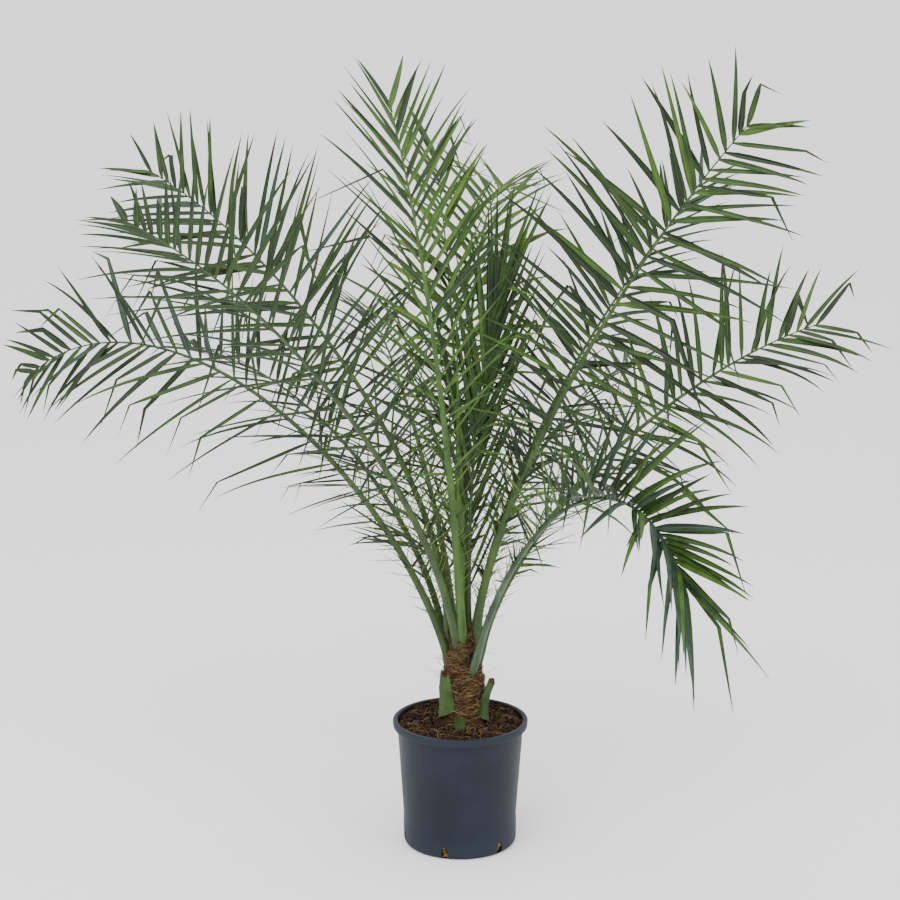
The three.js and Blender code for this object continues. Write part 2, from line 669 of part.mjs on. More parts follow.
function addNode(name, geometry, material) {
  const mesh = new THREE.Mesh(geometry, material);
  mesh.name = name;
  plant.add(mesh);
}

addNode('pot', makePot(), POT_PLASTIC);
addNode('soil', makeSoil(), POTTING_SOIL);
addNode('trunk', fromSolid(toSolid(stemGeometry(0))), FIBRE);

const stemSpace = toSolid(stemGeometry(GAP));
for (const stub of STUBS) {
  addNode(stub.name, fromSolid(toSolid(stubGeometry(stub)).subtract(stemSpace)), CUT_BASE);
}

const taken = [];
for (const frond of FRONDS) {
  frond.steps = followRib(frond);
  taken.push(...ribBars(frond, frond.steps, frond.name));
}
const spear = spearSteps();
const spearSpace = SPEAR.radius + SPEAR.belly + SPEAR.point;
taken.push({
  node: 'spear',
  from: spear[0].place,
  to: spear[RIB_STEPS].place,
  start: spearSpace,
  end: SPEAR.point,
});
addNode('spear', fromSolid(toSolid(spearGeometry(spear)).subtract(stemSpace)), SPEAR_GREEN);

let carved = stemSpace;
for (const frond of FRONDS) {
  for (const { node, solid } of growFrond(frond, taken, carved)) {
    addNode(node, fromSolid(solid), FROND_GREEN);
  }
  carved = carved.add(footSpace(frond));
}

export default plant;
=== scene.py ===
# A young date palm in its nursery pot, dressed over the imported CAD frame.
# Metres, +Z up; the origin is the middle of the pot's underside.
import math
import random
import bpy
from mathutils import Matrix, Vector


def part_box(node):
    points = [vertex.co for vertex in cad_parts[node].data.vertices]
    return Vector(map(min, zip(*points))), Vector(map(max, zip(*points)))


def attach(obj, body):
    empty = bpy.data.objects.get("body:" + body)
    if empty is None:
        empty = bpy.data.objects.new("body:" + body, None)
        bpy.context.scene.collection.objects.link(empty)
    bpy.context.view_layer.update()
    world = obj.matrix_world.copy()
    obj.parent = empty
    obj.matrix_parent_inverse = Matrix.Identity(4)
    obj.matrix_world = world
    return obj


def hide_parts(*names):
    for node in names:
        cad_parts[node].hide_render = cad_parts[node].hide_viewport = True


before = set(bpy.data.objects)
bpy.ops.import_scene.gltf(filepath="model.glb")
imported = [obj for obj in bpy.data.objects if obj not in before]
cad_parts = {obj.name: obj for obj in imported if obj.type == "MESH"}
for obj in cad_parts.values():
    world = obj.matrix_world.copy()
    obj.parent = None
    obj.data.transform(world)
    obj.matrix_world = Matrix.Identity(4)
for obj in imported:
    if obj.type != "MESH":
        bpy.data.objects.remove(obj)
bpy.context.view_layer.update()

from types import SimpleNamespace

import bmesh
import bpy
from mathutils import Matrix, Vector, noise

# ---- pot -------------------------------------------------------------------
# A blow-moulded nursery container of slate-dark polythene with a rolled lip. Its wall
# draws in a little above the foot, and six drain slots are cut through the corner. It is
# scuffed, and rain has left dried dust on it.
POT_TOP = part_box("pot")[1].z
LIP_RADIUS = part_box("pot")[1].x
LIP_HEIGHT = 0.013
WALL_RADIUS = LIP_RADIUS - 0.008
FOOT_RADIUS = 0.1
WALL = 0.002
FLOOR = 0.003
WAIST_HEIGHT = 0.056
SLOTS = 6
SLOT_FIRST = math.radians(14)
SLOT_SIZE = (0.018, 0.011, 0.021)


class Value:
    """An output of a shader node, or a number, that can be used in sums."""

    def __init__(self, finish, socket):
        self.finish = finish
        self.socket = socket

    def sum(self, operation, first, second):
        return self.finish.node("ShaderNodeMath", {"operation": operation}, {0: first, 1: second})

    def __add__(self, other):
        return self.sum("ADD", self, other)

    def __mul__(self, other):
        return self.sum("MULTIPLY", self, other)

    def __sub__(self, other):
        return self.sum("SUBTRACT", self, other)

    def __rsub__(self, other):
        return self.sum("SUBTRACT", other, self)

    __radd__ = __add__
    __rmul__ = __mul__


class Finish:
    """A material whose colour, gloss and relief are worked out by nodes."""

    def __init__(self, name, **constants):
        self.material = bpy.data.materials.new(name)
        self.material.use_nodes = True
        self.tree = self.material.node_tree
        self.shader = self.tree.nodes["Principled BSDF"]
        for socket, value in constants.items():
            self.shader.inputs[socket.replace("_", " ")].default_value = value

    def connect(self, socket, value):
        if isinstance(value, Value):
            self.tree.links.new(value.socket, socket)
        else:
            socket.default_value = value

    def node(self, kind, settings, inputs, output=0):
        made = self.tree.nodes.new(kind)
        for name, value in settings.items():
            setattr(made, name, value)
        for name, value in inputs.items():
            self.connect(made.inputs[name], value)
        return Value(self, made.outputs[output])

    def place(self, stretch=(1, 1, 1)):
        where = self.node("ShaderNodeTexCoord", {}, {}, output=3)
        return self.node("ShaderNodeMapping", {}, {"Vector": where, "Scale": stretch})

    def grain(self, scale, detail=4, stretch=(1, 1, 1)):
        """Soft noise between 0 and 1 over the piece, with features of about 1 / scale metres."""
        inputs = {"Vector": self.place(stretch), "Scale": scale, "Detail": detail}
        return self.node("ShaderNodeTexNoise", {}, inputs)

    def between(self, value, low, high):
        """0 where value is under low, 1 where it is over high."""
        settings = {"interpolation_type": "SMOOTHSTEP"}
        return self.node("ShaderNodeMapRange", settings, {0: value, 1: low, 2: high})

    def blend(self, share, first, second):
        settings = {"data_type": "RGBA"}
        return self.node("ShaderNodeMix", settings, {0: share, 6: first, 7: second}, output=2)

    def relief(self, height, depth, strength=1):
        inputs = {"Height": height, "Distance": depth, "Strength": strength}
        self.connect(self.shader.inputs["Normal"], self.node("ShaderNodeBump", {}, inputs))

    def show(self, colour, roughness):
        self.connect(self.shader.inputs["Base Color"], colour)
        self.connect(self.shader.inputs["Roughness"], roughness)
        return self


def tint(code):
    """A colour named by its screen code, as the linear values that a shader takes."""
    parts = [int(code[i:i + 2], 16) / 255 for i in (1, 3, 5)]
    linear = [part / 12.92 if part < 0.04045 else ((part + 0.055) / 1.055) ** 2.4 for part in parts]
    return (*linear, 1)


def make_piece(name, shape, finishes, slot, *nodes, crease=35):
    """Turns a bmesh into a piece of the plant, which stands for the CAD nodes named."""
    mesh = bpy.data.meshes.new(name)
    shape.to_mesh(mesh)
    shape.free()
    for finish in finishes:
        mesh.materials.append(finish.material)
    mesh.shade_smooth()
    mesh.set_sharp_from_angle(angle=math.radians(crease))
    piece = bpy.data.objects.new(name, mesh)
    bpy.context.collection.objects.link(piece)
    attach(piece, "root")
    if nodes:
        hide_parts(*nodes)
    return piece


def spun(profile, turns):
    """A closed skin turned round the Z axis from points of radius and height."""
    shape = bmesh.new()
    points = [shape.verts.new((radius, 0, height)) for radius, height in profile]
    for first, second in zip(points, points[1:]):
        shape.edges.new((first, second))
    bmesh.ops.spin(shape, geom=shape.verts[:] + shape.edges[:], axis=(0, 0, 1), cent=(0, 0, 0),
                   angle=math.tau, steps=turns, use_merge=True)
    bmesh.ops.remove_doubles(shape, verts=shape.verts, dist=1e-6)
    bmesh.ops.recalc_face_normals(shape, faces=shape.faces)
    return shape


def round_corners(shape, low, high, size, segments):
    """Rounds the edges that turn sharply between two heights."""
    corners = [edge for edge in shape.edges
               if low < min(v.co.z for v in edge.verts) and max(v.co.z for v in edge.verts) < high
               and edge.calc_face_angle(0) > math.radians(28)]
    bmesh.ops.bevel(shape, geom=corners, offset=size, segments=segments, profile=0.5,
                    affect="EDGES", material=-1, clamp_overlap=True)


under_lip = POT_TOP - LIP_HEIGHT
pot = spun([
    (0, 0), (FOOT_RADIUS, 0), (FOOT_RADIUS + 0.0012, 0.03), (FOOT_RADIUS + 0.0008, WAIST_HEIGHT),
    (WALL_RADIUS - 0.0005, under_lip), (LIP_RADIUS - 0.001, under_lip - 0.001),
    (LIP_RADIUS, POT_TOP), (WALL_RADIUS - WALL + 0.001, POT_TOP),
    (WALL_RADIUS - WALL, under_lip), (FOOT_RADIUS - WALL - 0.001, WAIST_HEIGHT),
    (FOOT_RADIUS - WALL - 0.001, FLOOR), (0, FLOOR),
], 120)
round_corners(pot, -0.001, 0.002, 0.008, 5)
round_corners(pot, under_lip - 0.002, POT_TOP + 0.001, 0.0028, 4)
for point in pot.verts:
    out = Vector((point.co.x, point.co.y, 0))
    dent = noise.noise(Vector((point.co.x * 9, point.co.y * 9, point.co.z * 7)))
    point.co += out.normalized() * dent * 0.0011 * min(1, point.co.z / 0.03)

slate = Finish("pot_plastic", Specular_IOR_Level=0.22)
height = slate.node("ShaderNodeSeparateXYZ", {}, {0: slate.place()}, output=2)
cloud = slate.grain(11, 5)
dust = slate.between(cloud, 0.35, 0.8) * 0.35
dust = dust + slate.between(height + cloud * 0.05, 0.075, 0.03) * 0.5
dust = dust + slate.between(height, under_lip - 0.003, under_lip + 0.004) * 0.3
scuffs = slate.between(slate.grain(300, 4, (1, 1, 0.7)), 0.52, 0.8)
scuffs = scuffs * slate.between(slate.grain(23), 0.35, 0.7)
body_colour = slate.blend(slate.grain(9, 4), tint("#101520"), tint("#151b26"))
dusty = slate.blend(dust * (0.35 + slate.grain(420, 2) * 0.5), body_colour, tint("#2c3542"))
marked = slate.blend(scuffs * 0.2, dusty, tint("#434c59"))
# Painted shade: the inner face of the wall, which turns in towards the axis, is painted near-black to stand
# for the shadow inside the pot.
facing = slate.node("ShaderNodeTexCoord", {}, {}, output=1)
level = slate.node("ShaderNodeVectorMath", {"operation": "MULTIPLY"}, {0: slate.place(), 1: (1, 1, 0)})
out = slate.node("ShaderNodeVectorMath", {"operation": "DOT_PRODUCT"}, {0: level, 1: facing}, output=1)
painted_inner_shade = slate.between(out, -0.01, -0.05)
slate.show(slate.blend(painted_inner_shade, marked, tint("#0d0b0a")), 0.5 + dust * 0.2 + scuffs * 0.15)
slate.relief(slate.grain(260, 3) * 0.3 + slate.grain(30, 3), 0.0006, 0.5)

pot_piece = make_piece("pot_shell", pot, [slate], "pot_plastic", "pot")

slot_cutter = bmesh.new()
for i in range(SLOTS):
    place = Matrix.Rotation(SLOT_FIRST + i * math.tau / SLOTS, 4, "Z")
    place @= Matrix.Translation((FOOT_RADIUS, 0, 0.001 + SLOT_SIZE[2] / 2))
    bmesh.ops.create_cube(slot_cutter, size=1, matrix=place @ Matrix.Diagonal((*SLOT_SIZE, 1)))
bmesh.ops.bevel(slot_cutter, geom=slot_cutter.edges[:], offset=0.002, segments=3, profile=0.5,
                affect="EDGES", material=-1)
cutter_mesh = bpy.data.meshes.new("slot_cutter")
slot_cutter.to_mesh(cutter_mesh)
slot_cutter.free()
cutter = bpy.data.objects.new("slot_cutter", cutter_mesh)
bpy.context.collection.objects.link(cutter)
cut = pot_piece.modifiers.new("slots", "BOOLEAN")
cut.object = cutter
cut.operation = "DIFFERENCE"
cut.solver = "EXACT"
slotted = bpy.data.meshes.new_from_object(pot_piece.evaluated_get(bpy.context.evaluated_depsgraph_get()))
pot_piece.modifiers.clear()
# The cut leaves slivers along the slots, which are merged away.
slotted_pot = bmesh.new()
slotted_pot.from_mesh(slotted)
bmesh.ops.dissolve_degenerate(slotted_pot, dist=0.00005, edges=slotted_pot.edges)
slotted_pot.to_mesh(slotted)
slotted_pot.free()
pot_piece.data = slotted
bpy.data.objects.remove(cutter)

# ---- soil ------------------------------------------------------------------
# Dark potting compost that fills the pot to just under the lip, heaped a little round
# the stem. Bark crumbs, straw-coloured fibres and a few tufts of moss lie on it.
SOIL_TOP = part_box("trunk")[0].z
SOIL_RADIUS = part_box("soil")[1].x
STEM_X = (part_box("trunk")[0].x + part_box("trunk")[1].x) / 2
STEM_RADIUS = 0.038
HEAP_HEIGHT = 0.011
HEAP_REACH = 0.085
BACK_RISE = 0.008
LUMP_HEIGHT = 0.0032
CRUMBS = 1500
STRAWS = 300
MOSS_TUFTS = 12
MOSS_BLADES = 16

soil_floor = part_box("soil")[0].z
rings = 26
soil_profile = [(0, soil_floor), (FOOT_RADIUS - 0.006, soil_floor), (FOOT_RADIUS - 0.0045, WAIST_HEIGHT)]
soil_profile += [(SOIL_RADIUS * (1 - i / rings), SOIL_TOP - 0.004) for i in range(rings + 1)]
soil = spun(soil_profile, 110)


def soil_height(x, y):
    """Height of the compost at a place in the pot: heaped to the stem, lumpy, higher at the back."""
    heap = HEAP_HEIGHT * max(0, 1 - math.hypot(x - STEM_X, y) / HEAP_REACH)
    back = BACK_RISE * max(0, y / SOIL_RADIUS) ** 1.2
    lumps = noise.fractal(Vector((x * 60, y * 60, 3)), 0.7, 2.1, 4) * LUMP_HEIGHT
    return SOIL_TOP - 0.001 + heap + back + lumps


for point in soil.verts:
    if point.co.z > SOIL_TOP - 0.006:
        point.co.z = soil_height(point.co.x, point.co.y)

compost = Finish("compost", Specular_IOR_Level=0.15)
mix = compost.grain(230, 6)
patch = compost.grain(38, 4)
earth = compost.blend(compost.between(mix, 0.35, 0.66), tint("#0b0704"), tint("#28180e"))
earth = compost.blend(compost.between(patch, 0.5, 0.68) * 0.6, earth, tint("#312617"))
compost.show(earth, 0.93)
compost.relief(mix, 0.002, 0.9)
make_piece("soil_surface", soil, [compost], "potting_soil", "soil")

luck = random.Random(41)


def random_soil_place(reach=0.97):
    """A random place on the compost, clear of the stem."""
    while True:
        radius = SOIL_RADIUS * reach * math.sqrt(luck.random())
        angle = luck.uniform(0, math.tau)
        x, y = radius * math.cos(angle), radius * math.sin(angle)
        if math.hypot(x - STEM_X, y) > STEM_RADIUS * 1.05:
            return x, y


def plain_finish(name, dark, light, scale, roughness, slant=(1, 1, 1), bump=0.0004):
    """A finish that wavers between two colours, with a fine relief."""
    finish = Finish(name, Specular_IOR_Level=0.2)
    waver = finish.grain(scale, 4, slant)
    finish.show(finish.blend(finish.between(waver, 0.3, 0.7), tint(dark), tint(light)), roughness)
    finish.relief(waver, bump, 0.6)
    return finish


crumbs = bmesh.new()
for i in range(CRUMBS):
    x, y = random_soil_place()
    size = luck.uniform(0.0008, 0.0026) * (1.9 if luck.random() < 0.07 else 1)
    if y > 0.07 and luck.random() < 0.5:
        size *= 1.9
    turn = Matrix.Rotation(luck.uniform(0, math.tau), 4, Vector((luck.random(), luck.random(), 1)))
    squash = Matrix.Diagonal((size * luck.uniform(0.8, 1.6), size, size * luck.uniform(0.5, 0.9), 1))
    place = Matrix.Translation((x, y, soil_height(x, y) + size * 0.3)) @ turn @ squash
    made = bmesh.ops.create_icosphere(crumbs, subdivisions=1, radius=1, matrix=place)
    shade = luck.choice((0, 0, 0, 1, 1, 2))
    for face in {face for point in made["verts"] for face in point.link_faces}:
        face.material_index = shade
crumb_shades = [
    plain_finish("crumb_dark", "#090604", "#170e09", 300, 0.95),
    plain_finish("crumb_brown", "#1e1109", "#311e12", 300, 0.95),
    plain_finish("crumb_bark", "#331b0d", "#4a301d", 300, 0.9),
]
make_piece("soil_crumbs", crumbs, crumb_shades, "potting_soil", crease=50)


def strands(name, groups, slot, radius, segments=0):
    """Fibres as one mesh: each group is a finish with its lists of places along each fibre."""
    whole = bmesh.new()
    for index, (finish, paths) in enumerate(groups):
        curve = bpy.data.curves.new(name, "CURVE")
        curve.dimensions = "3D"
        curve.bevel_depth = radius
        curve.bevel_resolution = segments
        curve.use_fill_caps = True
        for path in paths:
            spline = curve.splines.new("POLY")
            spline.points.add(len(path) - 1)
            for knot, (place, width) in zip(spline.points, path):
                knot.co = (*place, 1)
                knot.radius = width
        holder = bpy.data.objects.new(name, curve)
        mesh = bpy.data.meshes.new_from_object(holder)
        known = len(whole.faces)
        whole.from_mesh(mesh)
        whole.faces.ensure_lookup_table()
        for face in whole.faces[known:]:
            face.material_index = index
        bpy.data.objects.remove(holder)
        bpy.data.curves.remove(curve)
        bpy.data.meshes.remove(mesh)
    return make_piece(name, whole, [finish for finish, _ in groups], slot, crease=60)


def straw_path(length, lift):
    """A bent fibre lying on the compost."""
    x, y = random_soil_place(0.93)
    heading = luck.uniform(0, math.tau)
    path = []
    steps = 6
    for i in range(steps):
        share = i / (steps - 1)
        z = soil_height(x, y) + 0.0012 + lift * math.sin(math.pi * share)
        path.append((Vector((x, y, z)), 1 - 0.6 * share))
        heading += luck.uniform(-0.6, 0.6)
        x += length / steps * math.cos(heading)
        y += length / steps * math.sin(heading)
        if math.hypot(x, y) > SOIL_RADIUS * 0.97:
            x, y = x * 0.96, y * 0.96
    return path


straw_pale = plain_finish("straw_pale", "#5c4a30", "#86704c", 90, 0.8)
straw_brown = plain_finish("straw_brown", "#40291a", "#5c4229", 90, 0.85)
pale_straws = [straw_path(luck.uniform(0.012, 0.04), luck.uniform(0, 0.005)) for _ in range(STRAWS // 2)]
brown_straws = [straw_path(luck.uniform(0.01, 0.03), luck.uniform(0, 0.004)) for _ in range(STRAWS)]
strands("soil_straws", [(straw_pale, pale_straws), (straw_brown, brown_straws)], "potting_soil", 0.00042)


def moss_tuft():
    """Short blades that lean out from one place on the compost."""
    x, y = random_soil_place(0.9)
    blades = []
    for _ in range(MOSS_BLADES):
        foot = Vector((x + luck.gauss(0, 0.004), y + luck.gauss(0, 0.004), 0))
        foot.z = soil_height(foot.x, foot.y)
        lean = Vector((luck.gauss(0, 0.5), luck.gauss(0, 0.5), 1)).normalized()
        length = luck.uniform(0.003, 0.008)
        blades.append([(foot, 1), (foot + lean * length * 0.5, 0.8), (foot + lean * length, 0.2)])
    return blades


moss_green = plain_finish("moss_green", "#242b10", "#454d21", 120, 0.85)
moss_straw = plain_finish("moss_straw", "#413920", "#61552f", 120, 0.85)
strands("soil_moss", [
    (moss_green, [blade for _ in range(MOSS_TUFTS // 2) for blade in moss_tuft()]),
    (moss_straw, [blade for _ in range(MOSS_TUFTS // 2) for blade in moss_tuft()]),
], "potting_soil", 0.0006)


def slot_root(index):
    """A root that has come to a drain slot and turned back along it."""
    angle = SLOT_FIRST + index * math.tau / SLOTS + luck.uniform(-0.05, 0.05)
    out = Vector((math.cos(angle), math.sin(angle), 0))
    side = Vector((-math.sin(angle), math.cos(angle), 0))
    place = out * (FOOT_RADIUS - 0.006) + Vector((0, 0, luck.uniform(0.004, 0.019)))
    path = []
    for i in range(6):
        wander = side * luck.uniform(-0.003, 0.003) + Vector((0, 0, luck.uniform(-0.001, 0.003)))
        path.append((place + out * 0.005 * math.sin(i / 5 * math.pi) + wander, 1))
    return path


root_pale = plain_finish("root_pale", "#4f3a1c", "#8c7140", 200, 0.75)
root_paths = [slot_root(i % SLOTS) for i in range(16 * SLOTS)]
strands("slot_roots", [(root_pale, root_paths)], "potting_soil", 0.0008, 1)

# ---- stem ------------------------------------------------------------------
# The short trunk: a cone of old leaf bases under a coarse brown mat of fibre. The mat's
# own threads cross it on the slant, and torn scales of the old bases show through it.
STEM_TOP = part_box("trunk")[1].z
STEM_HEIGHT = 0.179
STEM_FLARE = 0.007
STEM_LEAN = 0.002
STEM_AXIS_X = 0.005
STEM_STRAIGHT = 0.4
STEM_TAPER = 0.62
SCALE_ROWS = 7
THREADS = 900
WISPS = 90


def stem_radius(height):
    up = min(1, max(0, (height - SOIL_TOP) / STEM_HEIGHT))
    taper = 1 if up < STEM_STRAIGHT else 1 - STEM_TAPER * (up - STEM_STRAIGHT) / (1 - STEM_STRAIGHT)
    return STEM_RADIUS * taper + STEM_FLARE * math.exp(-up / 0.09)


def stem_centre(height):
    up = min(1, max(0, (height - SOIL_TOP) / STEM_HEIGHT))
    return Vector((STEM_AXIS_X + STEM_LEAN * up * up, 0, height))


def stem_relief(angle, height):
    """Old leaf bases as overlapping scales, roughened by the mat of fibre."""
    row = (height - SOIL_TOP) / STEM_HEIGHT * SCALE_ROWS
    column = angle * 5 / math.tau + 0.5 * math.floor(row) + 0.17 * math.floor(row) ** 2
    across = abs(column % 1 - 0.5) * 2
    scale = (1 - row % 1) * (1 - across * across)
    spot = Vector((math.cos(angle) * 3, math.sin(angle) * 3, height * 90))
    slant = math.sin(angle * 26 + height * 900) + math.sin(angle * 26 - height * 900)
    return 0.0045 * scale + 0.0016 * noise.fractal(spot, 0.8, 2.2, 4) + 0.0003 * slant - 0.002


stem = bmesh.new()
bmesh.ops.create_grid(stem, x_segments=150, y_segments=120, size=1)
for point in stem.verts:
    angle = math.pi * point.co.x
    height = SOIL_TOP - 0.006 + (STEM_TOP - SOIL_TOP + 0.006) * (point.co.y + 1) / 2
    closing = min(1, (STEM_TOP - height) / 0.006)
    radius = max(0.001, (stem_radius(height) + stem_relief(angle, height)) * closing)
    point.co = stem_centre(height) + Vector((math.cos(angle) * radius, math.sin(angle) * radius, 0))
bmesh.ops.remove_doubles(stem, verts=stem.verts, dist=0.0002)
bmesh.ops.holes_fill(stem, edges=[edge for edge in stem.edges if edge.is_boundary])
bmesh.ops.recalc_face_normals(stem, faces=stem.faces)

mat = Finish("fibre_mat", Specular_IOR_Level=0.15)
fine = mat.grain(700, 4, (1, 1, 0.25))
coarse = mat.grain(55, 4)
mat_brown = mat.blend(mat.between(fine, 0.36, 0.64), tint("#1f150c"), tint("#4f3a25"))
mat_brown = mat.blend(mat.between(coarse, 0.52, 0.7) * 0.7, mat_brown, tint("#665036"))
mat.show(mat_brown, 0.92)
mat.relief(fine, 0.0012, 1)
make_piece("stem_mat", stem, [mat], "stem_fibre", "trunk", crease=70)


def thread_path(height, length, slope, lift):
    """A fibre of the mat that winds round the stem on the slant."""
    angle = luck.uniform(0, math.tau)
    path = []
    steps = 9
    for i in range(steps):
        share = i / (steps - 1)
        here = max(SOIL_TOP + 0.001, height + length * share * slope)
        turn = angle + length * share * math.sqrt(max(0, 1 - slope * slope)) / stem_radius(here)
        turn += 0.05 * math.sin(share * 7 + angle * 5)
        out = stem_radius(here) + max(0, stem_relief(turn, here)) + 0.0008 + lift * math.sin(math.pi * share)
        place = stem_centre(here) + Vector((math.cos(turn), math.sin(turn), 0)) * out
        path.append((place, 1 - 0.5 * share))
    return path


def wisp_path():
    """A loose end of fibre that stands off the stem."""
    height = SOIL_TOP + STEM_HEIGHT * luck.uniform(0.35, 1.05)
    angle = luck.uniform(0, math.tau)
    out = Vector((math.cos(angle), math.sin(angle), luck.uniform(-0.3, 0.9))).normalized()
    place = stem_centre(height) + Vector((out.x, out.y, 0)) * stem_radius(height)
    curl = Vector((luck.gauss(0, 1), luck.gauss(0, 1), luck.gauss(0, 1))) * 0.35
    length = luck.uniform(0.012, 0.04)
    path = []
    for i in range(6):
        path.append((place.copy(), 1 - i / 7))
        place += (out + curl * i / 3).normalized() * length / 5
    return path


def thread_batch(count, lowest, highest, shortest, longest, lift):
    paths = []
    for _ in range(count):
        height = SOIL_TOP + STEM_HEIGHT * luck.uniform(lowest, highest)
        slope = luck.choice((-1, 1)) * luck.uniform(0.02, 0.9) ** 1.4
        paths.append(thread_path(height, luck.uniform(shortest, longest), slope, luck.uniform(0, lift)))
    return paths


thread_pale = plain_finish("thread_pale", "#6e5438", "#94785a", 70, 0.8)
thread_tan = plain_finish("thread_tan", "#4d3a1f", "#74603f", 70, 0.85)
thread_dark = plain_finish("thread_dark", "#20130c", "#3d281b", 70, 0.9)
strands("stem_threads", [
    (thread_pale, thread_batch(THREADS // 9, 0.0, 0.8, 0.03, 0.08, 0.004)),
    (thread_tan, thread_batch(THREADS * 4 // 9, 0.0, 0.95, 0.02, 0.06, 0.003)),
    (thread_dark, thread_batch(THREADS * 4 // 9, 0.0, 0.98, 0.02, 0.05, 0.003)),
], "stem_fibre", 0.0004)
strands("stem_wisps", [
    (thread_pale, [wisp_path() for _ in range(WISPS // 3)]),
    (thread_tan, [wisp_path() for _ in range(WISPS)]),
], "stem_fibre", 0.00035)

# ---- cut leaf bases --------------------------------------------------------
# Stubs of pruned fronds that clasp the foot of the stem: thick green plates, crowned
# outside, whose cut ends have dried brown and frayed.
STUBS = [
    SimpleNamespace(name="stub_left", turn=221, width=0.035, lift=0.022, height=0.079,
                    thickness=0.011, slant=0.5, flare=0.012, foot=-0.14),
    SimpleNamespace(name="stub_right", turn=332, width=0.022, lift=0.011, height=0.077,
                    thickness=0.010, slant=0.66, flare=0.022, foot=0.1),
    SimpleNamespace(name="stub_front", turn=262, width=0.018, lift=0.004, height=0.021,
                    thickness=0.008, slant=0.2, flare=0.005, foot=0),
]


def stub_shape(stub):
    """A plate bent round the stem, thick in the middle and torn along its top."""
    plate = bmesh.new()
    bmesh.ops.create_grid(plate, x_segments=14, y_segments=26, size=1)
    bmesh.ops.solidify(plate, geom=plate.faces[:], thickness=1)
    for point in plate.verts:
        across, up, outer = point.co.x, (point.co.y + 1) / 2, point.co.z > -0.5
        tear = 0.09 * noise.noise(Vector((across * 9, stub.turn, 0))) + 0.045 * math.sin(17 * across)
        height = SOIL_TOP + stub.lift + stub.height * (up + tear * up ** 6 - stub.foot * (1 - up) * across)
        narrow = 1 - stub.slant * up * up
        angle = math.radians(stub.turn) + across * narrow * stub.width / 2 / STEM_RADIUS
        lean = stub.flare * up * up
        thick = stub.thickness * (1 - 0.75 * across ** 2) * (1 - 0.5 * up)
        out = stem_radius(height) + lean + (thick if outer else -0.002)
        point.co = stem_centre(height) + Vector((math.cos(angle), math.sin(angle), 0)) * out
    bmesh.ops.recalc_face_normals(plate, faces=plate.faces)
    # So thin a plate can come out of that inside out, which a negative volume shows.
    if plate.calc_volume(signed=True) < 0:
        bmesh.ops.reverse_faces(plate, faces=plate.faces)
    for face in plate.faces:
        top = SOIL_TOP + stub.lift + stub.height * 0.93
        face.material_index = 1 if face.calc_center_median().z > top + 0.002 * math.sin(face.index) else 0
    return plate


base_green = Finish("base_green", Specular_IOR_Level=0.35)
streak = base_green.grain(90, 4, (1, 1, 0.15))
mottle = base_green.grain(35, 3)
green = base_green.blend(base_green.between(streak, 0.3, 0.7), tint("#182a08"), tint("#345216"))
green = base_green.blend(base_green.between(mottle, 0.55, 0.75) * 0.6, green, tint("#3d4f1d"))
base_green.show(green, 0.55)
base_green.relief(streak, 0.0005, 0.5)
torn_brown = plain_finish("torn_brown", "#1f130c", "#5f4430", 160, 0.9, (1, 1, 0.3), 0.001)
for stub in STUBS:
    finishes = [base_green, torn_brown]
    make_piece(stub.name + "_base", stub_shape(stub), finishes, "cut_base", stub.name, crease=50)

# ---- fronds ----------------------------------------------------------------
# Feather leaves. A stiff, tapering stalk comes out of the stem and carries two rows of
# folded leaflets, set in three planes low down and in one near the tip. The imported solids'
# rule and seeds grow them, with a wider scatter, finer blades and mostly more of them.
RIB_STEPS = 54
RIB_SIDES = 10
RIB_TIP = 0.1
RIB_TAPER = 1.15
RIB_FLARE = 0.15
RIB_FOOT_DROP = 0.034
RIB_FOOT_DEPTH = 0.010
BLADE_STEPS = 8
BLADE_HALF_WIDTH = 0.006
BLADE_FOLD = 0.45
BLADE_THICKNESS = 0.0005
LEAFLET_PLANES = (-12, 10, 28)
LEAFLET_PEAK = 0.4
LOW_LEAFLETS = 20

